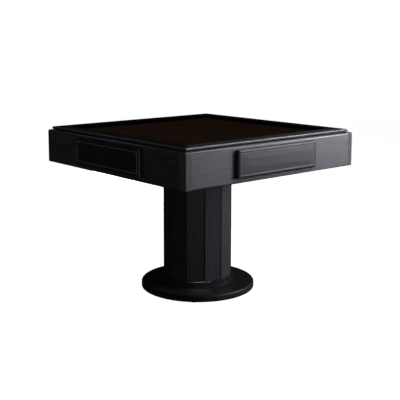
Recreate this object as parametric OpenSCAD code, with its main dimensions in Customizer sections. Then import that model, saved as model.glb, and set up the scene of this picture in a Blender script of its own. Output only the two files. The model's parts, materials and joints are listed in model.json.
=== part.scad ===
// Square poker and dining table: a recessed playing surface in a mitred rim,
// a leather faced drawer in each side, and a staved column on a round base.
// The origin is on the floor under the middle of the table. +Z is up, and -Y is the front.

/* [Table] */
// Width and depth over the apron faces
table_w = 1016; // [960:1:1200]
// Height of the rim above the floor
table_h = 762; // [700:1:800]
// Height of the apron faces
apron_h = 154; // [145:1:190]
// Thickness of the apron boards
apron_t = 28; // [22:1:34]
// Width that a corner post shows on each face
post_w = 30; // [28:1:45]
// Radius along the top of the apron and down each corner
edge_r = 8; // [3:1:12]
// Radius along the lower edge of the apron
under_r = 6; // [2:1:8]
// Thickness of the tongue on each end of an apron board
tongue_t = 10; // [6:1:12]
// Length of that tongue inside its post
tongue_l = 9; // [6:1:10]
// Distance that the tongue keeps from the top and bottom edges
tongue_stop = 14; // [10:1:30]

/* [Top] */
// Ledge left bare between the apron face and the rim
ledge_w = 14; // [10:1:20]
// Width of a rim rail, seen from above
rim_w = 70; // [50:1:100]
// Height of the rim's outer face
rim_t = 11; // [8:1:20]
// Height of the shadow gap under the rim
reveal_h = 4; // [2:0.5:6]
// Depth of the shadow gap
reveal_d = 8; // [3:1:10]
// Radius of the rim's outer top edge and of its corners
brow_r = 8; // [4:1:10]
// Radius of the rim's inner top edge
rim_r = 3; // [1:0.5:4]
// Depth of the playing surface below the rim
recess_d = 17; // [12:1:25]
// Thickness of the playing panel
playfield_t = 6; // [4:1:8]
// Thickness of the deck under the playing panel
deck_t = 12; // [9:1:15]

/* [Carcass] */
// Thickness of the bottom panel
panel_t = 12; // [9:1:15]
// Height of the bottom panel above the apron's lower edge
panel_lift = 12; // [8:1:16]
// Thickness of the four crate rails
crate_t = 18; // [15:1:24]
// Depth of the dado that each crate rail stands in
dado_d = 6; // [4:1:10]
// Width of the square plate under the carcass
plate_w = 520; // [490:1:600]
// Corner radius of that plate
plate_r = 24; // [10:1:40]
// Thickness of that plate
plate_t = 12; // [10:1:16]

/* [Drawers] */
// Width of a drawer face
face_w = 476; // [420:1:520]
// Distance from the top of the apron down to the drawer face
face_drop = 12.5; // [10:0.5:20]
// Distance from the apron's lower edge up to the drawer face
face_lift = 22; // [20:0.5:30]
// Running gap between a drawer face and the apron
face_gap = 0.5; // [0.5:0.1:2]
// Cover that the face gives beside its cut-out
side_lap = 18; // [12:1:30]
// Cover that the face gives above and below its cut-out
edge_lap = 13; // [8:1:16]
// Thickness of the board in a drawer face
face_t = 12; // [9:1:16]
// Thickness of leather and foam over the front of that board
hide_t = 5; // [3:0.5:8]
// Thickness of leather wrapped round the edges of that board
wrap_t = 3; // [1.5:0.5:4]
// Rise of the padding in the middle of a drawer face
crown = 1; // [0.5:0.1:2]
// Radius of the leather at the edge of a drawer face
hide_r = 8; // [3:0.5:9]
// Distance of the sewn line from the edge of a drawer face
stitch_in = 15; // [10:1:25]
// Depth that the sewn line is drawn in
stitch_d = 0.7; // [0.5:0.1:2]
// Width of the groove that the sewn line draws in
stitch_w = 4.8; // [3:0.2:8]
// Width over which the padding rises behind the sewn line
rise_w = 26; // [10:1:35]
// Corner radius of the board in a drawer face
board_r = 2; // [1:0.5:4]
// Clearance under a drawer box in its cut-out
low_gap = 5; // [2:1:8]
// Clearance over a drawer box in its cut-out
high_gap = 7; // [3:1:10]
// Clearance behind a drawer box
back_gap = 10; // [4:1:30]
// Thickness of the drawer box sides and ends
wall_t = 12; // [9:1:15]
// Number of fingers and notches down each corner of a drawer box
finger_n = 5; // [3:2:9]
// Thickness of a drawer bottom
floor_t = 6; // [4:1:8]
// Depth of the groove that holds the drawer bottom
groove_in = 4; // [3:1:6]
// Height of that groove above the lower edge of the box
groove_up = 6; // [4:1:10]

/* [Slides] */
// Room for a slide between a crate rail and a drawer box
slide_room = 13; // [12.5:0.5:16]
// Height of the outer member of a slide
slide_h = 36; // [30:1:45]
// Depth of the outer and middle members
slide_d = 9; // [8:0.5:11]
// Thickness of the slide's sheet steel
slide_t = 1.5; // [1.2:0.1:2]
// Running gap between one member and the next
slide_gap = 0.3; // [0.2:0.1:0.5]
// Distance that a slide keeps from the wood in front of it and behind it
slide_end = 2; // [1:0.5:6]

/* [Pedestal] */
// Radius of the column over its corners
column_r = 165; // [140:1:200]
// Number of staves in the column
stave_n = 12; // [8:1:16]
// Thickness of a stave
stave_t = 20; // [16:1:26]
// Width of the groove between two staves
groove_w = 5.5; // [3:0.5:8]
// Depth of that groove
groove_d = 6; // [3:0.5:8]
// Thickness of the spline that joins two staves
spline_t = 4; // [3:0.5:5]
// Width of that spline
spline_w = 12; // [8:1:16]
// Wood left between a spline and the groove in front of it
spline_in = 3; // [2:0.5:5]
// Thickness of the formers inside the column's two ends
former_t = 36; // [28:1:50]
// Radius of the bore through the formers and the plinth
bore_r = 40; // [20:1:60]
// Height of the plinth ring
plinth_h = 34; // [20:1:50]
// Ledge of the plinth ring round the corners of the column
plinth_lip = 7; // [2:1:12]
// Spread of the plinth ring from its top to its foot
plinth_flare = 8; // [0:1:16]
// Radius of the plinth ring's top edge
plinth_r = 5; // [2:1:8]
// Radius of the base
base_r = 268.5; // [230:0.5:330]
// Thickness of the base
base_t = 32; // [28:1:45]
// Radius of the base's upper edge
base_top_r = 11; // [4:1:16]
// Radius of the base's lower edge
base_low_r = 5; // [2:1:8]
// Radius of the steel weight in the base
weight_r = 222; // [180:1:225]
// Thickness of the steel weight
weight_t = 10; // [6:1:12]
// Room for the weight round its edge
weight_gap = 0.5; // [0.3:0.1:0.9]
// Radius of a glide
glide_r = 15; // [10:1:18]
// Height of a glide below the base
glide_h = 3; // [2:0.5:6]
// Depth of a glide's seat in the base
glide_in = 2; // [1:0.5:4]
// Number of glides
glide_n = 8; // [4:1:12]
// Wood left between a glide's seat and the base's lower edge
glide_rim = 3; // [2:0.5:8]

/* [Bolts] */
// Shank radius of the bolts through the base
base_bolt_r = 5; // [4:0.5:6]
// Radius of the circle that they stand on
base_bolt_pc = 95; // [70:1:120]
// Number of bolts through the base
base_bolt_n = 6; // [4:1:8]
// Shank radius of the bolts in the plate under the carcass
plate_bolt_r = 4; // [3:0.5:5]
// Radius of the circle for the bolts from that plate down into the column
plate_bolt_pc = 95; // [70:1:120]
// Number of those bolts
plate_bolt_n = 6; // [4:1:8]
// Head height of the bolts through the base
base_head_h = 5.5; // [4:0.5:7]
// Head height of the bolts in the plate
plate_head_h = 5; // [3.5:0.5:6]
// Width of a bolt's head beyond its shank
head_rim = 3.5; // [2.5:0.5:5]
// Depth of thread in the wood that a bolt holds in
thread_l = 28; // [20:1:30]
// Clearance round a shank, and round and under a head
bolt_gap = 0.5; // [0.3:0.1:0.9]

/* [Hidden] */
$fn = 96;
// How far a cutter runs past what it cuts, and the least corner radius of the leather
over = 1;
least_r = 1;
SIDES = ["front", "right", "back", "left"];
POSTS = ["front_right", "back_right", "back_left", "front_left"];

// Heights of the top, from the rim down
slab_z = table_h - rim_t;
ledge_z = slab_z - reveal_h;
apron_z = ledge_z - apron_h;
play_z = table_h - recess_d;
deck_top = play_z - playfield_t;
deck_z = deck_top - deck_t;
panel_z = apron_z + panel_lift;
crate_z = panel_z + panel_t;
crate_h = deck_z - crate_z;
plate_z = panel_z - plate_t;

// Half widths of the top, from the outside in
half_w = table_w / 2;
rim_half = half_w - ledge_w;
play_half = rim_half - rim_w;
inner_half = half_w - apron_t;
step_in = max(apron_t, post_w);
low_r = min(under_r, edge_r);
rim_edge = min(brow_r, rim_t - over);
rim_corner = rim_half - rim_edge;
notch_w = max(post_w - apron_t, 0);

// Drawer face, its cut-out in the apron, and the box that runs through it
face_z = apron_z + face_lift;
face_h = ledge_z - face_drop - face_z;
cut_w = face_w - 2 * side_lap;
cut_z = face_z + edge_lap;
cut_h = face_h - 2 * edge_lap;
crate_c = (cut_w + crate_t) / 2;
crate_out = crate_c + crate_t / 2;
face_y = half_w + face_gap;
box_w = cut_w - 2 * slide_room;
box_z = cut_z + low_gap;
box_h = cut_h - low_gap - high_gap;
box_l = face_y - crate_out - back_gap;
finger_h = box_h / finger_n;
slide_z = box_z + box_h / 2;
slide_l = inner_half - crate_out - 2 * slide_end;
nest = slide_t + slide_gap;

// Sizes of the leather face
board_w = face_w - 2 * wrap_t;
board_h = face_h - 2 * wrap_t;
corner_pts = 4;
roll_r = min(hide_r, hide_t + wrap_t, stitch_in - stitch_w / 2 - over);

// Column and base
corner_a = 180 / stave_n;
flat_r = column_r * cos(corner_a);
inner_r = (flat_r - stave_t) / cos(corner_a);
spline_r = column_r - groove_d - spline_in - spline_t / 2;
plinth_z = glide_h + base_t;
column_z = plinth_z + plinth_h;
plinth_top = column_r + plinth_lip;
head_z = plate_z - former_t;
glide_c = base_r - base_low_r - glide_rim - glide_r;
pocket_h = weight_t + base_head_h + bolt_gap;
weight_z = glide_h + base_head_h + bolt_gap;

wood = "#29292d";
raw_wood = "#3a3733";
hide = "#312f33";
cloth = "#2c1d15";
steel = "#9a9ca0";
dark_steel = "#3c3d40";
nylon = "#1a1a1a";

// Turns a piece made for the front side to side number i
module on_side(i) {
    rotate([0, 0, 90 * i]) children();
}

// Copies a piece to the other end of a side
module both_ends() {
    children();
    mirror([1, 0, 0]) children();
}

// Sets copies on a circle
module on_circle(n, r) {
    for (k = [0 : n - 1]) rotate([0, 0, 360 * k / n]) translate([r, 0, 0]) children();
}

// Lays a section along X, with its x as depth behind the front and its y as height
module along_front(l) {
    translate([-l / 2, -half_w, 0]) rotate([90, 0, 90]) linear_extrude(l) children();
}

// Disc that rounds the edge of a board, cut off at the board's far side and its underside
module edge_disc(r, x, y, far, low) {
    intersection() {
        translate([x, y]) circle(r);
        translate([-over, low]) square([far + over, table_h]);
    }
}

// Section of an apron board, rounded over at the top and eased below
module apron_section(t) {
    translate([edge_r, 0]) square([t - edge_r, apron_h]);
    translate([low_r, 0]) square([t - low_r, apron_h / 2]);
    translate([0, low_r]) square([t, apron_h - edge_r - low_r]);
    edge_disc(edge_r, edge_r, apron_h - edge_r, t, 0);
    translate([low_r, low_r]) circle(low_r);
}

// Tongue on the end of an apron board, which also cuts its seat in the post
module apron_tongue() {
    translate([half_w - post_w, -half_w + (apron_t - tongue_t) / 2, apron_z + tongue_stop])
        cube([tongue_l, tongue_t, apron_h - 2 * tongue_stop]);
}

// Apron board with its drawer cut-out and the dados for two crate rails
module apron_board() {
    color(wood) difference() {
        union() {
            translate([0, 0, apron_z]) along_front(table_w - 2 * post_w) apron_section(apron_t);
            both_ends() apron_tongue();
        }
        translate([-cut_w / 2, -half_w - over, cut_z]) cube([cut_w, apron_t + 2 * over, cut_h]);
        both_ends() translate([crate_c - crate_t / 2, -inner_half - dado_d, crate_z])
            cube([crate_t, dado_d + over, crate_h]);
    }
}

// Corner post at the back right, rounded on its corner and over its top
module post_body() {
    translate([half_w - post_w, half_w - post_w, apron_z]) {
        translate([0, post_w, 0]) rotate([90, 0, 90]) linear_extrude(post_w - edge_r)
            mirror([1, 0]) apron_section(post_w);
        translate([post_w, post_w - edge_r, 0]) rotate([90, 0, 0]) linear_extrude(post_w - edge_r)
            mirror([1, 0]) apron_section(post_w);
        translate([post_w - edge_r, post_w - edge_r, 0]) rotate_extrude(angle = 90)
            intersection() {
                translate([edge_r, 0]) mirror([1, 0]) apron_section(post_w);
                square([edge_r, apron_h]);
            }
    }
}

module corner_post() {
    color(wood) difference() {
        post_body();
        rotate([0, 0, 90]) apron_tongue();
        rotate([0, 0, 180]) mirror([1, 0, 0]) apron_tongue();
    }
}

// Section of a rim rail: slab over a shadow gap, foot on the apron, step down to the deck
module rim_section() {
    translate([ledge_w + rim_edge, slab_z]) square([rim_w - rim_edge - rim_r, rim_t]);
    translate([ledge_w, slab_z]) square([rim_w - rim_r, rim_t - rim_edge]);
    translate([ledge_w + rim_edge, slab_z]) square([rim_w - rim_edge, rim_t - rim_r]);
    edge_disc(rim_edge, ledge_w + rim_edge, table_h - rim_edge, ledge_w + rim_w, slab_z);
    translate([ledge_w + rim_w - rim_r, table_h - rim_r]) circle(rim_r);
    translate([ledge_w + reveal_d, ledge_z]) square([rim_w - reveal_d, reveal_h]);
    translate([step_in, deck_top]) square([ledge_w + rim_w - step_in, ledge_z - deck_top]);
}

// Outer strip of that section, as wide as its edge is round
module rim_strip() {
    intersection() {
        rim_section();
        translate([ledge_w, ledge_z]) square([rim_edge, table_h]);
    }
}

// Rim before it is mitred: the section between the corners, its inner part beyond them,
// and the outer strip turned round each corner
module rim_body() {
    along_front(2 * rim_corner) rim_section();
    along_front(table_w) difference() {
        rim_section();
        translate([0, ledge_z]) square([ledge_w + rim_edge, table_h]);
    }
    both_ends() translate([rim_corner, -rim_corner, 0]) rotate([0, 0, -90])
        rotate_extrude(angle = 90) translate([ledge_w + rim_edge, 0]) mirror([1, 0]) rim_strip();
}

// Rim rail, mitred at both ends
module rim_rail() {
    color(wood) intersection() {
        rim_body();
        linear_extrude(table_h + over) polygon([[0, 0], [-half_w, -half_w], [half_w, -half_w]]);
    }
}

// Square panel that fills the carcass and passes round the posts
module field_panel(t) {
    difference() {
        translate([-inner_half, -inner_half, 0]) cube([2 * inner_half, 2 * inner_half, t]);
        if (notch_w > 0) for (i = [0 : 3]) on_side(i)
            translate([inner_half - notch_w, inner_half - notch_w, -over])
                cube([notch_w + over, notch_w + over, t + 2 * over]);
    }
}

module playfield() {
    color(cloth) translate([-play_half, -play_half, deck_top])
        cube([2 * play_half, 2 * play_half, playfield_t]);
}

module deck() {
    color(raw_wood) translate([0, 0, deck_z]) field_panel(deck_t);
}

// Places of the four bolts that go up into the crossings of the crate
module at_crossings() {
    for (i = [0 : 3]) on_side(i) translate([crate_c, crate_c, 0]) children();
}

module bottom_panel() {
    color(raw_wood) difference() {
        translate([0, 0, panel_z]) field_panel(panel_t);
        at_crossings() translate([0, 0, panel_z - over])
            cylinder(r = plate_bolt_r + bolt_gap, h = panel_t + 2 * over);
    }
}

// Crate rail along X at the front, notched from below or from above at its crossings
module crate_rail(from_below) {
    color(raw_wood) difference() {
        translate([-inner_half - dado_d, -crate_c - crate_t / 2, crate_z])
            cube([2 * (inner_half + dado_d), crate_t, crate_h]);
        both_ends() translate([crate_c - crate_t / 2, -crate_c - crate_t / 2 - over,
                crate_z + (from_below ? -over : crate_h / 2)])
            cube([crate_t, crate_t + 2 * over, crate_h / 2 + over]);
        both_ends() translate([crate_c, -crate_c, crate_z - over])
            cylinder(r = plate_bolt_r, h = thread_l + over);
    }
}

// Bolt standing on its head, with the shank upwards from z = 0
module bolt(r, head_h, l) {
    translate([0, 0, -head_h]) cylinder(r = r + head_rim, h = head_h);
    cylinder(r = r, h = l);
}

// Hole for the shank of a bolt and a seat for its head, below z = 0
module bolt_hole(r, head_h, l) {
    translate([0, 0, -head_h - bolt_gap - over])
        cylinder(r = r + head_rim + bolt_gap, h = head_h + bolt_gap + over);
    translate([0, 0, -over]) cylinder(r = r + bolt_gap, h = l + over);
}

// The plate's bolts: up into the crate at its corners, down into the column inside
module plate_bolt_up() {
    at_crossings() translate([0, 0, plate_z + plate_head_h + bolt_gap]) children();
}

module plate_bolt_down() {
    on_circle(plate_bolt_n, plate_bolt_pc)
        translate([0, 0, panel_z - plate_head_h - bolt_gap]) rotate([180, 0, 0]) children();
}

module head_plate() {
    color(dark_steel) difference() {
        translate([0, 0, plate_z]) linear_extrude(plate_t) {
            square([plate_w, plate_w - 2 * plate_r], center = true);
            square([plate_w - 2 * plate_r, plate_w], center = true);
            for (x = [-1, 1], y = [-1, 1])
                translate([x, y] * (plate_w / 2 - plate_r)) circle(plate_r);
        }
        plate_bolt_up() bolt_hole(plate_bolt_r, plate_head_h, plate_t);
        plate_bolt_down() bolt_hole(plate_bolt_r, plate_head_h, plate_t);
    }
}

module head_bolts() {
    up_l = crate_z + thread_l - plate_z - plate_head_h - bolt_gap;
    down_l = plate_t - plate_head_h - bolt_gap + thread_l;
    color(steel) {
        plate_bolt_up() bolt(plate_bolt_r, plate_head_h, up_l);
        plate_bolt_down() bolt(plate_bolt_r, plate_head_h, down_l);
    }
}

// Section of a slide member: a channel whose web stands at x = 0
module channel(h, d) {
    difference() {
        translate([0, -h / 2]) square([d, h]);
        translate([slide_t, slide_t - h / 2]) square([d, h - 2 * slide_t]);
    }
}

// Lays a slide member along each crate rail beside the front drawer
module slide_pair() {
    both_ends() translate([-cut_w / 2, -crate_out - slide_end, slide_z])
        rotate([90, 0, 0]) linear_extrude(slide_l) children();
}

module outer_slides() {
    color(steel) for (i = [0 : 3]) on_side(i) slide_pair() channel(slide_h, slide_d);
}

module middle_slides() {
    color(steel) slide_pair() translate([slide_t + 2 * slide_gap, 0])
        channel(slide_h - 2 * nest, slide_d);
}

module runners() {
    color(steel) slide_pair() translate([slide_room, 0]) mirror([1, 0])
        channel(slide_h - 4 * nest, slide_room - 3 * nest);
}

// One rounded ring of points, w by h, at height z
function ring(w, h, r, z) = [
    for (c = [0 : 3], i = [0 : corner_pts - 1])
        let (a = 90 * (c + i / (corner_pts - 1)),
            x = (c == 0 || c == 3) ? w / 2 - r : r - w / 2,
            y = (c < 2) ? h / 2 - r : r - h / 2)
        [x + r * cos(a), y + r * sin(a), z]
];

// Outline of the leather from its back edge to the middle, as inset and height
function hide_profile() = let (t = face_t + hide_t) concat(
    [[0, 0]],
    [for (a = [0 : 22.5 : 90]) [roll_r * (1 - cos(a)), t - roll_r * (1 - sin(a))]],
    [for (f = [-1 : 0.5 : 1])
        [stitch_in + f * stitch_w / 2, t - stitch_d * (1 + cos(180 * f)) / 2]],
    [for (f = [0.25 : 0.25 : 1])
        [stitch_in + stitch_w / 2 + rise_w * f, t + crown * (1 - cos(180 * f)) / 2]]
);

// Solid through a list of rings, with triangles round it and fans at its two ends
module ring_solid(rings) {
    n = 4 * corner_pts;
    last = n * (len(rings) - 1);
    sides = [for (k = [0 : len(rings) - 2], i = [0 : n - 1])
        let (a = n * k + i, b = n * k + (i + 1) % n)
        each [[a, a + n, b + n], [a, b + n, b]]];
    ends = [for (i = [1 : n - 2]) each [[0, i, i + 1], [last, last + i + 1, last + i]]];
    polyhedron(points = [for (r = rings) each r], faces = concat(sides, ends), convexity = 4);
}

// Stands a face, drawn flat with its front upwards, before the front apron
module stand_face() {
    translate([0, -face_y, face_z + face_h / 2]) rotate([90, 0, 0]) children();
}

module drawer_board() {
    color(raw_wood) stand_face() linear_extrude(face_t)
        polygon([for (p = ring(board_w, board_h, board_r, 0)) [p.x, p.y]]);
}

// Leather over foam, wrapped round the board and sewn along a line near its edge
module drawer_leather() {
    color(hide) stand_face() ring_solid(concat(
        [ring(board_w, board_h, board_r, face_t), ring(board_w, board_h, board_r, 0)],
        [for (p = hide_profile())
            ring(face_w - 2 * p[0], face_h - 2 * p[0], max(board_r + wrap_t - p[0], least_r), p[1])]
    ));
}

module drawer_floor() {
    w = box_w - 2 * (wall_t - groove_in);
    l = box_l - 2 * (wall_t - groove_in);
    color(raw_wood) translate([-w / 2, -face_y + wall_t - groove_in, box_z + groove_up])
        cube([w, l, floor_t]);
}

// Boards of a drawer box: plain between the corners, with a finger in every second row there
module fingered(first) {
    children(0);
    intersection() {
        children(1);
        for (k = [first : 2 : finger_n - 1])
            translate([-box_w / 2 - over, -face_y - over, box_z + k * finger_h])
                cube([box_w + 2 * over, box_l + 2 * over, finger_h]);
    }
}

// The two side boards of a drawer box, with their ends set back
module box_sides(set_back) {
    both_ends() translate([box_w / 2 - wall_t, -face_y + set_back, box_z])
        cube([wall_t, box_l - 2 * set_back, box_h]);
}

// The front and back boards of a drawer box, with their ends set back
module box_ends(set_back) {
    for (y = [-face_y, -face_y + box_l - wall_t])
        translate([-box_w / 2 + set_back, y, box_z]) cube([box_w - 2 * set_back, wall_t, box_h]);
}

module drawer_sides() {
    color(raw_wood) difference() {
        fingered(0) {
            box_sides(wall_t);
            box_sides(0);
        }
        drawer_floor();
    }
}

module drawer_ends() {
    color(raw_wood) difference() {
        fingered(1) {
            box_ends(wall_t);
            box_ends(0);
        }
        drawer_floor();
    }
}

// Section of one stave: a wedge cut back for the grooves and slotted for the splines
module stave_section() {
    k = tan(corner_a);
    r0 = flat_r - stave_t;
    difference() {
        polygon([[r0, -r0 * k], [flat_r, -flat_r * k], [flat_r, flat_r * k], [r0, r0 * k]]);
        for (a = [-corner_a, corner_a]) rotate(a) {
            translate([column_r - groove_d, -groove_w / 2]) square([groove_d + over, groove_w]);
            translate([spline_r - spline_t / 2, -spline_w / 2]) square([spline_t, spline_w]);
        }
    }
}

module column_staves() {
    color(wood) for (k = [0 : stave_n - 1]) rotate([0, 0, (2 * k + 1) * corner_a])
        translate([0, 0, column_z]) linear_extrude(plate_z - column_z) stave_section();
}

module column_splines() {
    color(raw_wood) on_circle(stave_n, spline_r)
        translate([-spline_t / 2, -spline_w / 2, column_z])
            cube([spline_t, spline_w, plate_z - column_z]);
}

// Former that the staves are glued round
module former(z) {
    translate([0, 0, z]) difference() {
        cylinder(r = inner_r, h = former_t, $fn = stave_n);
        translate([0, 0, -over]) cylinder(r = bore_r, h = former_t + 2 * over);
    }
}

module column_head() {
    color(raw_wood) difference() {
        former(head_z);
        on_circle(plate_bolt_n, plate_bolt_pc) translate([0, 0, plate_z - thread_l])
            cylinder(r = plate_bolt_r, h = thread_l + over);
    }
}

module column_foot() {
    color(raw_wood) difference() {
        former(column_z);
        on_circle(base_bolt_n, base_bolt_pc) translate([0, 0, column_z - over])
            cylinder(r = base_bolt_r, h = thread_l + over);
    }
}

// Clearance holes for the base bolts, from z upwards
module base_bolt_holes(z, h) {
    on_circle(base_bolt_n, base_bolt_pc) translate([0, 0, z - over])
        cylinder(r = base_bolt_r + bolt_gap, h = h + 2 * over);
}

module plinth() {
    side_h = plinth_h - plinth_r;
    color(wood) difference() {
        translate([0, 0, plinth_z]) rotate_extrude() {
            translate([bore_r, 0]) square([plinth_top - plinth_r - bore_r, plinth_h]);
            polygon([[bore_r, 0], [plinth_top + plinth_flare, 0], [plinth_top, side_h],
                [bore_r, side_h]]);
            translate([plinth_top - plinth_r, side_h]) circle(plinth_r);
        }
        base_bolt_holes(plinth_z, plinth_h);
    }
}

module base() {
    color(wood) difference() {
        translate([0, 0, glide_h]) rotate_extrude() {
            square([base_r - base_top_r, base_t]);
            square([base_r - base_low_r, base_t - base_top_r]);
            translate([0, base_low_r]) square([base_r, base_t - base_top_r - base_low_r]);
            translate([base_r - base_top_r, base_t - base_top_r]) circle(base_top_r);
            translate([base_r - base_low_r, base_low_r]) circle(base_low_r);
        }
        translate([0, 0, glide_h - over])
            cylinder(r = weight_r + weight_gap, h = pocket_h + over);
        base_bolt_holes(glide_h, base_t);
        on_circle(glide_n, glide_c) translate([0, 0, glide_h - over])
            cylinder(r = glide_r, h = glide_in + over);
    }
}

module base_weight() {
    color(dark_steel) difference() {
        translate([0, 0, weight_z]) cylinder(r = weight_r, h = weight_t);
        base_bolt_holes(weight_z, weight_t);
    }
}

module base_bolts() {
    color(steel) on_circle(base_bolt_n, base_bolt_pc) translate([0, 0, weight_z])
        bolt(base_bolt_r, base_head_h, column_z + thread_l - weight_z);
}

module glides() {
    color(nylon) on_circle(glide_n, glide_c) cylinder(r = glide_r, h = glide_h + glide_in);
}

playfield();
deck();
bottom_panel();
head_plate();
head_bolts();
outer_slides();
column_head();
column_staves();
column_splines();
column_foot();
plinth();
base();
base_weight();
base_bolts();
glides();
for (i = [0 : 3]) {
    on_side(i) rim_rail();
    on_side(i) apron_board();
    on_side(i + 3) corner_post();
    on_side(i) crate_rail(i % 2 == 0);
    on_side(i) middle_slides();
    on_side(i) drawer_board();
    on_side(i) drawer_leather();
    on_side(i) drawer_sides();
    on_side(i) drawer_ends();
    on_side(i) drawer_floor();
    on_side(i) runners();
}
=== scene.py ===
"""Square games and dining table: its finished look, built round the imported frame.

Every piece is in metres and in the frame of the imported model: the origin is on the floor
under the middle of the table, +Z is up and -Y is the front. A piece keeps its place in its
mesh, so its object stands at the origin, unturned and unscaled.
"""
import json
import logging
import math
from collections.abc import Iterable, Sequence
from dataclasses import dataclass
from enum import Enum
from functools import partial

import bmesh
import bpy
from bmesh.types import BMesh, BMEdge, BMFace, BMVert
from bpy.types import ID, Material, Node, NodeSocket, NodeTree, Object, World
from mathutils import Matrix, Vector, noise

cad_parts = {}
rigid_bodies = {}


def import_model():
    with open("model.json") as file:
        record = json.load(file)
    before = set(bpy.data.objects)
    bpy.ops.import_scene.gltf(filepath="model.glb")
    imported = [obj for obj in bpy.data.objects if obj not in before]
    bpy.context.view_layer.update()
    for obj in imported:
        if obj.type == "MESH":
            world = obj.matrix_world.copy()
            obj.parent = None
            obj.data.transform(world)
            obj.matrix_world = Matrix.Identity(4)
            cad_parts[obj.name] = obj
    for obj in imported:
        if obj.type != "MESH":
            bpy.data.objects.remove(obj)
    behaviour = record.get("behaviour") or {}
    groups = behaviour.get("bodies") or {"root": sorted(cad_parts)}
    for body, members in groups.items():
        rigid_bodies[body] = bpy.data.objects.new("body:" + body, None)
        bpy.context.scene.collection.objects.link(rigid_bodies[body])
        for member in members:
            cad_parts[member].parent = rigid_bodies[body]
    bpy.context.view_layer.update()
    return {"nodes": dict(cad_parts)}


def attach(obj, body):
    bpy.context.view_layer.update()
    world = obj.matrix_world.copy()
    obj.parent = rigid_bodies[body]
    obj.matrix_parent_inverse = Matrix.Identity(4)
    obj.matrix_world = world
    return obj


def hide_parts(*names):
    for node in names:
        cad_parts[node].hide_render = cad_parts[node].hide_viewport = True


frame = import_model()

LOG = logging.getLogger("table")
MM = 0.001
WELD = 0.01 * MM  # vertices nearer than this are one
SHARP = 32.0  # degrees from which an edge shades sharp
WAVE = 6.28  # a wave of scale 1 / (WAVE * L) repeats every 2 L, or every 4 L on a diagonal

Point = tuple[float, float, float]
Sockets = dict[str, object]


class Grain(Enum):
    """A direction in a board, as the number of its axis."""

    ALONG_X = 0
    ALONG_Y = 1
    ALONG_Z = 2

    def scale(self, along: float, across: float) -> Point:
        """Scale coordinates so that one pattern cell has a real size.

        Args:
            along: The cell's length along the grain, in metres.
            across: The cell's width across the grain, in metres.

        Returns:
            The factor for each axis.
        """
        return tuple(1 / along if axis == self.value else 1 / across for axis in range(3))

    def mask(self) -> Point:
        """Give 0 along the grain and 1 across it, for each axis."""
        return tuple(0.0 if axis == self.value else 1.0 for axis in range(3))

    def unit(self, length: float = 1.0) -> Point:
        """Give a vector of that length along the grain."""
        return tuple(length if axis == self.value else 0.0 for axis in range(3))


class Side(Enum):
    """A side of the table, as its number of quarter turns from the front."""

    FRONT = 0
    RIGHT = 1
    BACK = 2
    LEFT = 3

    @property
    def word(self) -> str:
        """The side's name, as the CAD nodes have it."""
        return self.name.lower()

    @property
    def turn(self) -> Matrix:
        """The turn that takes a piece made for the front to this side."""
        return Matrix.Rotation(math.radians(90 * self.value), 4, "Z")

    @property
    def grain(self) -> Grain:
        """The grain of a board that lies along this side."""
        return Grain(self.value % 2)

    @property
    def depth(self) -> Grain:
        """The direction that runs from this side into the table."""
        return Grain(1 - self.value % 2)


def linear(code: str) -> tuple[float, float, float, float]:
    """Turn an sRGB hex code into the linear colour that a shader takes.

    Args:
        code: The colour, such as "#2e2e32".

    Returns:
        Red, green, blue and a full alpha.
    """
    parts = [int(code[at:at + 2], 16) / 255 for at in (1, 3, 5)]
    red, green, blue = (
        part / 12.92 if part <= 0.04045 else ((part + 0.055) / 1.055) ** 2.4 for part in parts
    )
    return red, green, blue, 1.0


def add_node(
    tree: NodeTree,
    kind: str,
    inputs: Sockets | Sequence[object] = (),
    stops: Sequence[tuple[float, str]] = (),
    **settings: object,
) -> Node:
    """Add a shader node with its settings, values and links.

    Args:
        tree: The node tree of the material or the world.
        kind: The node's type without the word ShaderNode.
        inputs: What goes into the inputs, by their names or in their order: a value, a hex
            colour, a socket, or a node for its first output.
        stops: Position and colour of each stop, where the node has a colour ramp.
        **settings: The node's own properties.

    Returns:
        The new node.
    """
    node = tree.nodes.new("ShaderNode" + kind)
    for name, value in settings.items():
        setattr(node, name, value)
    shown = [socket for socket in node.inputs if socket.enabled]
    by_name = isinstance(inputs, dict)
    for number, key in enumerate(inputs):
        socket = next(s for s in shown if s.name == key) if by_name else shown[number]
        value = inputs[key] if by_name else key
        if isinstance(value, Node):
            value = next(out for out in value.outputs if out.enabled)
        if isinstance(value, NodeSocket):
            tree.links.new(value, socket)
        else:
            socket.default_value = linear(value) if isinstance(value, str) else value
    for number, (place, colour) in enumerate(stops):
        ramp = node.color_ramp.elements
        stop = ramp[number] if number < 2 else ramp.new(place)
        stop.position, stop.color = place, linear(colour)
    return node


def empty_tree(owner: Material | World) -> NodeTree:
    """Give a material or a world an empty node tree.

    Args:
        owner: The material or the world.

    Returns:
        Its node tree.
    """
    owner.use_nodes = True
    owner.node_tree.nodes.clear()
    return owner.node_tree


@dataclass(frozen=True, kw_only=True)
class Finish:
    """A finish that pieces are given, built once as a material of the same name.

    Attributes:
        name: The material's name.
        slot: The record's material slot that the finish stands for. Not used.
        relief: Depth of the surface's texture, in metres.
        bite: How far the relief bends the shading, from 0 to 1.
    """

    name: str
    slot: str
    relief: float
    bite: float

    def surface(self, tree: NodeTree) -> Sockets:
        """Add the finish's pattern.

        Args:
            tree: The material's node tree.

        Returns:
            What goes into each shader socket, and the height of the relief.
        """
        raise NotImplementedError

    def material(self) -> Material:
        """Build the material, or find it if it is there.

        Returns:
            The Blender material.
        """
        made = bpy.data.materials.get(self.name)
        if made is None:
            made = bpy.data.materials.new(self.name)
            tree = empty_tree(made)
            look = self.surface(tree)
            look["Normal"] = add_node(tree, "Bump", {
                "Height": look.pop("Height"), "Strength": self.bite, "Distance": self.relief})
            add_node(tree, "OutputMaterial", [add_node(tree, "BsdfPrincipled", look)])
        return made


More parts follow.
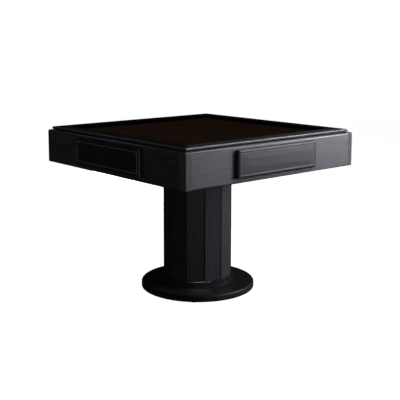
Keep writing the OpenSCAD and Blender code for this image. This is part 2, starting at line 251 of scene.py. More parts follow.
@dataclass(frozen=True, kw_only=True)
class StainedOak(Finish):
    """Oak, planed, stained black and sealed.

    The stain sinks into the open pores of the early wood, so these are darker and duller
    than the dense late wood between them, and the growth rings show as long pointed arches.

    Attributes:
        grain: The way that the grain runs.
        pith: The middle of the tree that the board was sawn from, in metres.
        tone: Colour of the late wood.
        shade: Colour of the early wood.
        pit: Colour in the pores.
        rub: Colour of an edge that hands have rubbed.
        gap: Colour of painted shade on the faces in a shadow gap or a groove, which are also made
            duller.
        ring: Spacing of the growth rings, in metres.
        waver: How far the rings stray along the board, in metres.
        gloss: Roughness of the late wood.
    """

    slot: str = "black_oak"
    relief: float = 0.25 * MM
    bite: float = 0.6
    grain: Grain
    pith: Point
    tone: str = "#42424a"
    shade: str = "#35353c"
    pit: str = "#1e1e23"
    rub: str = "#4c4c53"
    gap: str = "#0b0b0c"
    ring: float = 6.5 * MM
    waver: float = 30 * MM
    gloss: float = 0.40

    def surface(self, tree: NodeTree) -> Sockets:
        """Add growth rings, pores and uneven stain.

        Args:
            tree: The material's node tree.

        Returns:
            What goes into each shader socket, and the height of the relief.
        """
        add = partial(add_node, tree)
        here = add("TexCoord").outputs["Object"]
        board, worn, gap = (add("Attribute", attribute_name=mark).outputs["Fac"]
                            for mark in ("board", "worn", "gap"))
        # Each board of a piece comes from another length of the tree
        step = add("VectorMath", (self.grain.unit(1.37), board), operation="SCALE")
        place = add("VectorMath", (here, step), operation="ADD")
        # Rings stray over 420 mm along the board and 75 mm across it. Real pores are 0.3 mm
        # wide: they are drawn 0.9 by 15 mm, so that they show. Stain takes unevenly, in soft
        # patches of 160 by 40 mm
        stray, specks, cloud = (
            add("TexNoise", {
                "Vector": add("Mapping", {"Vector": place, "Scale": self.grain.scale(*cell)}),
                "Scale": 1.0, "Detail": detail, "Roughness": fray})
            for cell, detail, fray in (((420 * MM, 75 * MM), 2.5, 0.45),
                                       ((15 * MM, 0.9 * MM), 1.0, 0.5),
                                       ((160 * MM, 40 * MM), 3.0, 0.5)))
        middle = [-part * keep for part, keep in zip(self.pith, self.grain.mask())]
        across = add("Mapping", {"Vector": here, "Location": middle, "Scale": self.grain.mask()})
        radius = add("VectorMath", [across], operation="LENGTH")
        bent = add("Math", (stray, self.waver, radius), operation="MULTIPLY_ADD")
        turns = add("Math", (bent, self.ring), operation="DIVIDE")
        phase = add("Math", [turns], operation="FRACT")
        # Early wood starts at once after the winter, and fades into the late wood
        early = add("ValToRGB", [phase], stops=[
            (0.0, "#000000"), (1.0, "#000000"), (0.12, "#ffffff"), (0.55, "#6c6c6c")])
        filled = add("MapRange", {"Value": specks, "From Min": 0.50, "From Max": 0.66})
        crowd = add("MapRange", {"Value": early, "To Min": 0.25, "To Max": 1.0})
        pores = add("Math", (filled, crowd), operation="MULTIPLY")
        uneven = add("MapRange", {"Value": cloud, "From Min": 0.3, "From Max": 0.7,
                                  "To Min": -0.14, "To Max": 0.14})
        figure = add("Math", (early, 0.85, uneven), operation="MULTIPLY_ADD", use_clamp=True)
        rubbed = add("Math", (worn, cloud), operation="MULTIPLY")
        colour, rough, height = self.tone, self.gloss, 1.0
        # The last layer is painted shade, on the faces marked as in a gap
        for share, over in ((figure, self.shade), (pores, self.pit), (rubbed, self.rub),
                            (gap, self.gap)):
            colour = add("Mix", (share, colour, over), data_type="RGBA")
        for share, duller in ((figure, 0.035), (pores, 0.18), (gap, 0.6)):
            rough = add("Math", (share, duller, rough), operation="MULTIPLY_ADD", use_clamp=True)
        for share, lower in ((figure, -0.2), (pores, -0.8)):
            height = add("Math", (share, lower, height), operation="MULTIPLY_ADD")
        return {"Base Color": colour, "Roughness": rough, "Height": height, "IOR": 1.5}


@dataclass(frozen=True, kw_only=True)
class Leather(Finish):
    """Full grain cowhide, drum dyed near black and sealed with a thin satin finish.

    Its pebbled grain breaks the highlight up, and the dye is a little warmer than the wood.

    Attributes:
        tone: Colour on top of the pebbles.
        crease: Colour in the creases between them.
        pebble: Size of a pebble, in metres.
    """

    slot: str = "leather"
    relief: float = 0.12 * MM
    bite: float = 0.45
    tone: str = "#2e2a31"
    crease: str = "#1b191c"
    pebble: float = 2.2 * MM

    def surface(self, tree: NodeTree) -> Sockets:
        """Add pebbled grain, fine pores and uneven dye.

        Args:
            tree: The material's node tree.

        Returns:
            What goes into each shader socket, and the height of the relief.
        """
        add = partial(add_node, tree)
        here = add("TexCoord").outputs["Object"]
        # Rows of pebbles wander over 9 mm, the dye clouds over 55 mm, and hair pores are 0.7 mm
        wander, dye, hairs = (
            add("TexNoise", {"Vector": here, "Scale": 1 / size, "Detail": detail,
                             "Roughness": fray})
            for size, detail, fray in ((9 * MM, 2.0, 0.5), (55 * MM, 4.0, 0.6),
                                       (0.7 * MM, 1.0, 0.5)))
        pull = add("VectorMath", (wander.outputs["Color"], 2.4 * MM), operation="SCALE")
        place = add("VectorMath", (here, pull), operation="ADD")
        # Real pebbles are about 1 mm across: they are drawn twice that, so that they show
        cells = add("TexVoronoi", {"Vector": place, "Scale": 1 / self.pebble, "Randomness": 0.9},
                    feature="DISTANCE_TO_EDGE")
        grain = add("MapRange", {"Value": cells, "From Max": 0.22},
                    interpolation_type="SMOOTHSTEP")
        taken = add("MapRange", {"Value": dye, "From Min": 0.3, "From Max": 0.7,
                                 "To Min": 0.72, "To Max": 1.0})
        share = add("Math", (grain, 0.45, 0.55), operation="MULTIPLY_ADD")
        lit = add("Math", (share, taken), operation="MULTIPLY")
        colour = add("Mix", (lit, self.crease, self.tone), data_type="RGBA")
        rough = add("MapRange", {"Value": lit, "To Min": 0.60, "To Max": 0.44})
        height = add("Math", (hairs, 0.3, grain), operation="MULTIPLY_ADD")
        return {"Base Color": colour, "Roughness": rough, "Height": height, "IOR": 1.4}


@dataclass(frozen=True, kw_only=True)
class WaxedThread(Finish):
    """Twisted linen thread drawn through beeswax, which leaves it pale with a soft shine."""

    slot: str = "leather"
    relief: float = 0.1 * MM
    bite: float = 0.4
    tone: str = "#8f8c92"
    shade: str = "#5a585c"

    def surface(self, tree: NodeTree) -> Sockets:
        """Add the lay of the twisted strands.

        Args:
            tree: The material's node tree.

        Returns:
            What goes into each shader socket, and the height of the relief.
        """
        add = partial(add_node, tree)
        here = add("TexCoord").outputs["Object"]
        # Real strands cross the thread every 0.8 mm: they are drawn every 3.2 mm, to show
        lay = add("TexWave", {"Vector": here, "Scale": 1 / (0.8 * MM * WAVE), "Distortion": 1.0},
                  bands_direction="DIAGONAL").outputs["Fac"]
        colour = add("Mix", (lay, self.shade, self.tone), data_type="RGBA")
        return {"Base Color": colour, "Roughness": 0.55, "Height": lay}


@dataclass(frozen=True, kw_only=True)
class WovenCloth(Finish):
    """Worsted playing cloth, woven tight, dyed dark brown and pressed.

    The short nap scatters light at a low angle, and the weave shows as a fine check.

    Attributes:
        tone: Colour of the raised threads.
        shade: Colour between them.
        thread: Half the spacing of the threads, in metres.
    """

    slot: str = "playing_surface"
    relief: float = 0.25 * MM
    bite: float = 0.5
    tone: str = "#644a3b"
    shade: str = "#35271c"
    thread: float = 1.6 * MM

    def surface(self, tree: NodeTree) -> Sockets:
        """Add the weave, the nap and soft marks of use.

        Args:
            tree: The material's node tree.

        Returns:
            What goes into each shader socket, and the height of the relief.
        """
        add = partial(add_node, tree)
        here = add("TexCoord").outputs["Object"]
        # Real threads are 0.5 mm apart: they are drawn 3.2 mm apart, so that they show
        warp, weft = (
            add("TexWave", {"Vector": here, "Scale": 1 / (self.thread * WAVE),
                            "Distortion": 0.6, "Detail": 1.0, "Detail Scale": 2.0},
                bands_direction=way).outputs["Fac"]
            for way in "XY")
        weave = add("Math", (warp, weft), operation="MULTIPLY")
        # The nap lies in tufts of 6 mm, and use marks the cloth over 130 mm
        nap = add("TexNoise", {"Vector": here, "Scale": 1 / (6 * MM), "Detail": 4.0,
                               "Roughness": 0.7})
        use = add("TexNoise", {"Vector": here, "Scale": 1 / (130 * MM), "Detail": 3.0})
        worn = add("MapRange", {"Value": use, "From Min": 0.3, "From Max": 0.7, "To Max": 0.35})
        fuzz = add("Math", (nap, 0.8, worn), operation="MULTIPLY_ADD")
        lit = add("Math", (weave, 0.35, fuzz), operation="MULTIPLY_ADD", use_clamp=True)
        colour = add("Mix", (lit, self.shade, self.tone), data_type="RGBA")
        height = add("Math", (nap, 0.5, weave), operation="MULTIPLY_ADD")
        return {"Base Color": colour, "Roughness": 0.92, "Height": height,
                "Specular IOR Level": 0.03}


@dataclass(frozen=True, kw_only=True)
class BirchPlywood(Finish):
    """Birch plywood, sawn, sanded and sealed with clear lacquer.

    Its faces are pale with fine streaks, and its sawn edges show light and dark plies.

    Attributes:
        grain: The way that the face veneer's grain runs.
        across: The direction through the plies.
        tone: Colour of the veneer.
        streak: Colour of its streaks.
        glue: Colour of the dark plies on an edge.
        ply: Thickness of one ply, in metres.
    """

    slot: str = "birch_ply"
    relief: float = 0.08 * MM
    bite: float = 0.3
    grain: Grain
    across: Grain
    tone: str = "#c9b28d"
    streak: str = "#ad9067"
    glue: str = "#6f5536"
    ply: float = 12 * MM / 9

    def surface(self, tree: NodeTree) -> Sockets:
        """Add veneer streaks on the faces and plies on the edges.

        Args:
            tree: The material's node tree.

        Returns:
            What goes into each shader socket, and the height of the relief.
        """
        add = partial(add_node, tree)
        coords = add("TexCoord").outputs
        # Streaks of the veneer are about 120 by 3.5 mm
        long = add("Mapping", {"Vector": coords["Object"],
                               "Scale": self.grain.scale(120 * MM, 3.5 * MM)})
        streaks = add("TexNoise", {"Vector": long, "Scale": 1.0, "Detail": 4.0,
                                   "Roughness": 0.6})
        face = add("ValToRGB", [streaks], stops=[(0.35, self.streak), (0.65, self.tone)])
        depth, facing = (
            add("VectorMath", (coords[name], self.across.unit(length)), operation="DOT_PRODUCT")
            for name, length in (("Object", 1 / self.ply), ("Normal", 1.0)))
        pair = add("Math", (depth, 1.0), operation="PINGPONG")
        plies = add("Mix", (pair, self.glue, self.tone), data_type="RGBA")
        flat = add("Math", [facing], operation="ABSOLUTE")
        is_face = add("Math", (flat, 0.7), operation="GREATER_THAN")
        colour = add("Mix", (is_face, plies, face), data_type="RGBA")
        rough = add("MapRange", {"Value": streaks, "To Min": 0.36, "To Max": 0.52})
        return {"Base Color": colour, "Roughness": rough, "Height": streaks}


@dataclass(frozen=True, kw_only=True)
class MottledFinish(Finish):
    """A hard finish that is clouded by soft patches, over a fine even texture.

    Attributes:
        stops: The two colours, each with the level of the clouds that it is reached at.
        patch: Size of a patch, in metres.
        detail: How many finer sizes of cloud are in a patch.
        fray: How strong these are.
        gloss: Least and greatest roughness.
        grit: Size of the texture, in metres.
        metal: 1 for bare metal.
    """

    stops: tuple[tuple[float, str], tuple[float, str]]
    patch: float
    detail: float
    fray: float = 0.5
    gloss: tuple[float, float]
    grit: float
    metal: float = 0.0

    def surface(self, tree: NodeTree) -> Sockets:
        """Add the patches and the texture.

        Args:
            tree: The material's node tree.

        Returns:
            What goes into each shader socket, and the height of the relief.
        """
        add = partial(add_node, tree)
        here = add("TexCoord").outputs["Object"]
        cloud = add("TexNoise", {"Vector": here, "Scale": 1 / self.patch, "Detail": self.detail,
                                 "Roughness": self.fray})
        texture = add("TexNoise", {"Vector": here, "Scale": 1 / self.grit})
        rough, high = self.gloss
        if rough < high:
            rough = add("MapRange", {"Value": cloud, "To Min": rough, "To Max": high})
        return {"Base Color": add("ValToRGB", [cloud], stops=self.stops),
                "Metallic": self.metal, "Roughness": rough, "Height": texture}


# Rolled or headed steel, zinc plated and passivated: plating that clouds over 12 mm gives it a
# faintly mottled grey shine, across rolling lines 0.6 mm apart
ZINC = MottledFinish(
    name="zinc_plated_steel", slot="zinc_steel", stops=((0.3, "#8e9298"), (0.7, "#b4b7bb")),
    patch=12 * MM, detail=4.0, gloss=(0.24, 0.46), grit=0.6 * MM, relief=0.03 * MM, bite=0.15,
    metal=1.0)
# Mild steel plate under baked black powder: satin, with an orange peel 2.5 mm from crest to crest
POWDER = MottledFinish(
    name="black_powder_coat", slot="black_steel", stops=((0.0, "#1b1b1d"), (1.0, "#26262a")),
    patch=70 * MM, detail=3.0, gloss=(0.42, 0.58), grit=2.5 * MM, relief=0.15 * MM, bite=0.35)
# Nylon, injection moulded in a spark eroded tool: an even matt black with marks of 0.5 mm from
# the tool, and pale scuffs from the floor about 5 mm across
NYLON = MottledFinish(
    name="moulded_nylon", slot="nylon", stops=((0.5, "#18181a"), (0.75, "#35353a")),
    patch=5 * MM, detail=5.0, fray=0.7, gloss=(0.5, 0.5), grit=0.5 * MM, relief=0.05 * MM,
    bite=0.3)
LEATHER = Leather(name="black_cowhide")
THREAD = WaxedThread(name="waxed_thread")
CLOTH = WovenCloth(name="brown_playing_cloth")


def dress(node: str, finish: Finish) -> None:
    """Give a CAD node a finish in place of its plain colour.

    Args:
        node: The node's name.
        finish: The finish to put in its material slots.
    """
    for slot in frame["nodes"][node].material_slots:
        slot.material = finish.material()
    LOG.info("%s keeps its shape, in %s", node, finish.name)


def from_node(node: str, low: float = -math.inf, high: float = math.inf) -> BMesh:
    """Copy a CAD node's mesh, with its triangles merged into whole faces.

    Args:
        node: The node's name.
        low: The least angle round Z at which a triangle is kept, in degrees.
        high: The greatest such angle.

    Returns:
        The clean copy.
    """
    bm = bmesh.new()
    bm.from_mesh(frame["nodes"][node].data)
    middles = {face: face.calc_center_median() for face in bm.faces}
    away = [face for face, at in middles.items()
            if not low < math.degrees(math.atan2(at.y, at.x)) < high]
    bmesh.ops.delete(bm, geom=away, context="FACES")
    bmesh.ops.remove_doubles(bm, verts=bm.verts, dist=WELD)
    # Triangles that meet at less than 0.4 degrees are one face
    bmesh.ops.dissolve_limit(bm, angle_limit=math.radians(0.4), verts=bm.verts, edges=bm.edges)
    return bm


def bevel(bm: BMesh, edges: Sequence[BMEdge], width: float, segments: int) -> list[BMFace]:
    """Round edges off.

    Args:
        bm: The shape.
        edges: The edges.
        width: Width that the rounding takes of each face, in metres.
        segments: Number of faces across it.

    Returns:
        The new faces.
    """
    return bmesh.ops.bevel(bm, geom=edges, offset=width, offset_type="OFFSET", affect="EDGES",
                           segments=segments, profile=0.5, material=-1)["faces"]


def extrude(bm: BMesh, edges: Sequence[BMEdge]) -> tuple[list[BMVert], list[BMEdge]]:
    """Extrude edges, and leave the new ones where the old ones are.

    Args:
        bm: The shape.
        edges: The edges.

    Returns:
        The new vertices and the new edges.
    """
    made = bmesh.ops.extrude_edge_only(bm, edges=edges)["geom"]
    return ([item for item in made if isinstance(item, BMVert)],
            [item for item in made if isinstance(item, BMEdge)])


def ease(bm: BMesh, width: float) -> BMesh:
    """Take the edges of more than 35 degrees off a shape, and mark the new faces as worn.

    Args:
        bm: The shape.
        width: Width of the easing, in metres.

    Returns:
        The same shape.
    """
    worn = bm.faces.layers.float.new("worn")
    sharp = [edge for edge in bm.edges
             if len(edge.link_faces) == 2 and edge.calc_face_angle() > math.radians(35)]
    for face in bevel(bm, sharp, width, segments=2):
        face[worn] = 1.0
    return bm


def repeat(part: BMesh, places: Iterable[Matrix]) -> BMesh:
    """Set a copy of a part at each place, and number the copies as boards.

    Args:
        part: The part, which is freed.
        places: Where each copy goes.

    Returns:
        One bmesh with every copy.
    """
    mesh = bpy.data.meshes.new("part")
    part.to_mesh(mesh)
    part.free()
    whole = bmesh.new()
    board = whole.verts.layers.float.new("board")
    for number, place in enumerate(places):
        count = len(whole.verts)
        whole.from_mesh(mesh)
        whole.verts.ensure_lookup_table()
        new = whole.verts[count:]
        bmesh.ops.transform(whole, matrix=place, verts=new)
        for vert in new:
            vert[board] = number
    bpy.data.meshes.remove(mesh)
    return whole


def lathe(outline: Sequence[tuple[float, float]], rounds: dict[int, float], steps: int) -> BMesh:
    """Turn an outline round Z, and round some of its corners.

    Args:
        outline: Radius and height of each corner, in metres.
        rounds: The radius for each corner that is rounded, by its number in the outline.
        steps: Number of facets round the shape.

    Returns:
        The turned shape.
    """
    bm = bmesh.new()
    verts = [bm.verts.new((radius, 0, height)) for radius, height in outline]
    edges = [bm.edges.new(pair) for pair in zip(verts, verts[1:])]
    if outline[0][0] > 0:
        # An outline that doesn't start on the axis goes all round the section
        edges.append(bm.edges.new((verts[-1], verts[0])))
    bmesh.ops.spin(bm, geom=verts + edges, cent=(0, 0, 0), axis=(0, 0, 1),
                   angle=math.tau, steps=steps, use_merge=True)
    bmesh.ops.remove_doubles(bm, verts=bm.verts, dist=WELD)
    for number, radius in rounds.items():
        at = outline[number]
        bevel(bm, [edge for edge in bm.edges if all(on_ring(vert, at) for vert in edge.verts)],
              radius, segments=8)
    bmesh.ops.recalc_face_normals(bm, faces=bm.faces)
    return bm


def on_ring(vert: BMVert, ring: tuple[float, float]) -> bool:
    """Tell whether a vertex lies on a ring round Z, given as radius and height."""
    return math.dist((vert.co.xy.length, vert.co.z), ring) < 2 * WELD


def on_circle(count: int, radius: float, height: float) -> list[Matrix]:
    """Space places evenly on a circle round Z.

    Args:
        count: Number of places.
        radius: Radius of the circle, in metres.
        height: Height of the circle, in metres.

    Returns:
        A place for each copy, turned to face away from the middle.
    """
    return [Matrix.Rotation(math.tau * number / count, 4, "Z")
            @ Matrix.Translation((radius, 0, height)) for number in range(count)]


def is_flat(face: BMFace) -> bool:
    """Tell whether a face is flat wood or metal, with only narrow faces curving away from it.

    Args:
        face: The face.

    Returns:
        False for one of the faces that make up a curve.
    """
    # A neighbour of less than 0.3 of the face's area is an easing along its edge
    narrow = 0.3 * face.calc_area()
    return not any(
        len(edge.link_faces) == 2 and 0.5 < math.degrees(edge.calc_face_angle()) < SHARP
        and next(other for other in edge.link_faces if other != face).calc_area() > narrow
        for edge in face.edges)


def link(name: str, data: ID) -> Object:
    """Make an object and link it to the scene.

    Args:
        name: The object's name.
        data: Its mesh, light or camera.

    Returns:
        The new object.
    """
    made = bpy.data.objects.new(name, data)
    bpy.context.scene.collection.objects.link(made)
    return made


def piece(
    name: str,
    bm: BMesh,
    finish: Finish,
    replaces: Sequence[str] = (),
    body: str = "table",
    sharp: float = SHARP,
) -> Object:
    """Make a finished shape a piece of the table.

    Args:
        name: The piece's name.
        bm: Its shape, which is freed.
        finish: Its finish.
        replaces: The CAD nodes that it stands for.
        body: The CAD body that it moves with.
        sharp: The angle between faces, in degrees, from which an edge shades sharp.

    Returns:
        The new object.
    """
    curved = [not is_flat(face) for face in bm.faces]
    mesh = bpy.data.meshes.new(name)
    bm.to_mesh(mesh)
    bm.free()
    mesh.materials.append(finish.material())
    mesh.set_sharp_from_angle(angle=math.radians(sharp))
    mesh.polygons.foreach_set("use_smooth", curved)
    made = link(name, mesh)
    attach(made, body)
    if replaces:
        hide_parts(*replaces)
    LOG.info("%s: %d faces in %s, on %s", name, len(mesh.polygons), finish.name, body)
    return made


@dataclass(frozen=True)
class SocketScrew:
    """A headed screw with a hexagon socket, drawn on its head with the shank up from z = 0.

    Attributes:
        shank: Radius of the shank, in millimetres.
        length: Length of the shank.
        head: Radius of the head.
        rise: Height of the head.
        socket: Radius of the socket over its corners.
        sunk: Depth of the socket, as a share of the head's height.
        blunt: Rounding of the head's edge, as such a share.
    """

    shank: float
    length: float
    head: float
    rise: float
    socket: float
    sunk: float = 0.6
    blunt: float = 0.14

    def shape(self) -> BMesh:
        """Build the head, its socket and the shank.

        Returns:
            The screw, in metres.
        """
        bm = bmesh.new()
        down = Matrix.Translation((0, 0, -self.rise))
        rim, mouth = (
            bmesh.ops.create_circle(bm, segments=sides, radius=radius, matrix=down)["verts"]
            for sides, radius in ((24, self.head), (6, self.socket)))
        bmesh.ops.bridge_loops(bm, edges=bm.edges[:])
        self.draw_out(bm, mouth, 1.0, self.rise * self.sunk, close=True)
        top = self.draw_out(bm, rim, 1.0, self.rise)
        neck = self.draw_out(bm, top, self.shank / self.head, 0.0)
        self.draw_out(bm, neck, 1.0, self.length, close=True)
        bevel(bm, self.joining(bm, rim), self.rise * self.blunt, segments=2)
        bmesh.ops.recalc_face_normals(bm, faces=bm.faces)
        bmesh.ops.scale(bm, vec=(MM, MM, MM), verts=bm.verts)
        return bm

    @staticmethod
    def joining(bm: BMesh, ring: Iterable[BMVert]) -> list[BMEdge]:
        """Find the edges that join the vertices of a ring."""
        inside = set(ring)
        return [edge for edge in bm.edges if inside.issuperset(edge.verts)]

    def draw_out(
        self, bm: BMesh, ring: Sequence[BMVert], scale: float, rise: float, close: bool = False
    ) -> list[BMVert]:
        """Extrude a ring of vertices upwards, and close it if asked.

        Args:
            bm: The screw so far.
            ring: The vertices of the ring.
            scale: Factor on the ring's radius.
            rise: Height to draw it up, in millimetres.
            close: Whether a face closes the new ring.

        Returns:
            The vertices of the new ring.
        """
        new, edges = extrude(bm, self.joining(bm, ring))
        bmesh.ops.scale(bm, vec=(scale, scale, 1), verts=new)
        bmesh.ops.translate(bm, vec=(0, 0, rise), verts=new)
        if close:
            bmesh.ops.contextual_create(bm, geom=edges)
        return new


@dataclass
class Carcass:
    """The square box under the top: aprons, posts, deck, crate and bottom panel.

    Attributes:
        half: Half the table's width over the aprons, in metres.
        low: Height of the aprons' lower edge.
        high: Height of their top.
        easing: Width of the easing where two boards meet.
        panel: Height of the underside of the bottom panel.
        screw_in: Distance of the panel's screws from the table's middle.
        screws: Number of screws along each side of the panel.
        apron_pith: How far in from the apron's face, and over its middle, its tree's middle was.
        post_pith: How far in from the post's two faces its tree's middle was.
    """

    half: float = 508 * MM
    low: float = 593 * MM
    high: float = 747 * MM
    easing: float = 1.5 * MM
    panel: float = 605 * MM
    screw_in: float = 462 * MM
    screws: int = 4
    apron_pith: tuple[float, float] = (135 * MM, 20 * MM)
    post_pith: tuple[float, float] = (90 * MM, 110 * MM)

    def build(self) -> None:
        """Build the boards that show, and dress those inside."""
        deep, over = self.apron_pith
        from_side, from_front = self.post_pith
        # A side's post is the one at its right end, where its grain stands upright
        for side, post in zip(Side, ("front_right", "back_right", "back_left", "front_left")):
            word = side.word
            behind = side.turn @ Vector((0, deep - self.half, (self.low + self.high) / 2 + over))
            within = side.turn @ Vector((self.half - from_side, from_front - self.half, 0))
            for node, name, finish in (
                (f"{word}_apron", f"{word}_apron_board", StainedOak(
                    name=f"apron_oak_{word}", grain=side.grain, pith=tuple(behind))),
                (f"{post}_post", f"{post}_corner_post", StainedOak(
                    name=f"post_oak_{post}", grain=Grain.ALONG_Z, pith=tuple(within),
                    tone="#252529", shade="#202024", gloss=0.62)),
            ):
                piece(name, ease(from_node(node), self.easing), finish, [node])
            dress(f"{word}_crate_rail", BirchPlywood(
                name=f"crate_plywood_{word}", grain=side.grain, across=side.depth))
        self.panels()

    def panels(self) -> None:
        """Dress the two panels, and screw the lower one on."""
        dress("deck", BirchPlywood(
            name="deck_plywood", grain=Grain.ALONG_X, across=Grain.ALONG_Z))
        dress("bottom_panel", BirchPlywood(
            name="black_stained_plywood", grain=Grain.ALONG_X, across=Grain.ALONG_Z,
            tone="#2c2a29", streak="#201f1f", glue="#151413"))
        screw = SocketScrew(shank=2, length=10, head=4.5, rise=2.2, socket=1.9)
        gap = 2 * self.screw_in / self.screws
        places = [
            side.turn
            @ Matrix.Translation((gap * (n + 0.5) - self.screw_in, -self.screw_in, self.panel))
            for side in Side for n in range(self.screws)]
        piece("bottom_panel_screws", repeat(screw.shape(), places), ZINC)


@dataclass
class Top:
    """The mitred rim and the playing panel that it frames.

    Attributes:
        half: Half the rim's width over its outer faces, in metres.
        rim: Width of a rim rail.
        height: Height of the rim's top.
        face_low: Height of its face's lower edge, over the shadow gap.
        easing: Width of the easing at the mitres.
        panel: Half the width of the playing panel.
        panel_low: Height of its underside.
        panel_high: Height of the playing surface.
        roll: Radius of the cloth over the panel's edge.
        pith: How far in from the rim's middle, and under its top, its tree's middle was.
    """

    half: float = 494 * MM
    rim: float = 70 * MM
    height: float = 762 * MM
    face_low: float = 751 * MM
    easing: float = 0.5 * MM
    panel: float = 423.6 * MM
    panel_low: float = 739 * MM
    panel_high: float = 745 * MM
    roll: float = 2 * MM
    pith: tuple[float, float] = (-10 * MM, 110 * MM)

    def build(self) -> None:
        """Build the rim rails and the playing panel."""
        deep, under = self.pith
        for side in Side:
            pith = side.turn @ Vector((0, deep + self.rim / 2 - self.half, self.height - under))
            finish = StainedOak(name=f"rim_oak_{side.word}", grain=side.grain, pith=tuple(pith),
                                tone="#2c2c31", shade="#26262b", gloss=0.44)
            rail = ease(from_node(f"{side.word}_rim"), self.easing)
            # Faces below the rim's face, in the shadow gap, are marked for painted shade
            gap = rail.faces.layers.float.new("gap")
            for face in rail.faces:
                face[gap] = float(face.calc_center_median().z < self.face_low + 0.1 * MM)
            piece(f"{side.word}_rim_rail", rail, finish, [f"{side.word}_rim"])
        self.playing_panel()

    def playing_panel(self) -> None:
        """Build the playing panel, with the cloth rolled over its edge."""
        bm = bmesh.new()
        size = (2 * self.panel, 2 * self.panel, self.panel_high - self.panel_low, 1)
        middle = (0, 0, (self.panel_high + self.panel_low) / 2)
        bmesh.ops.create_cube(bm, size=1,
                              matrix=Matrix.Translation(middle) @ Matrix.Diagonal(size))
        bevel(bm, [edge for edge in bm.edges if all(vert.co.z > middle[2] for vert in edge.verts)],
              self.roll, segments=4)
        piece("playing_panel", bm, CLOTH, ["playfield"])


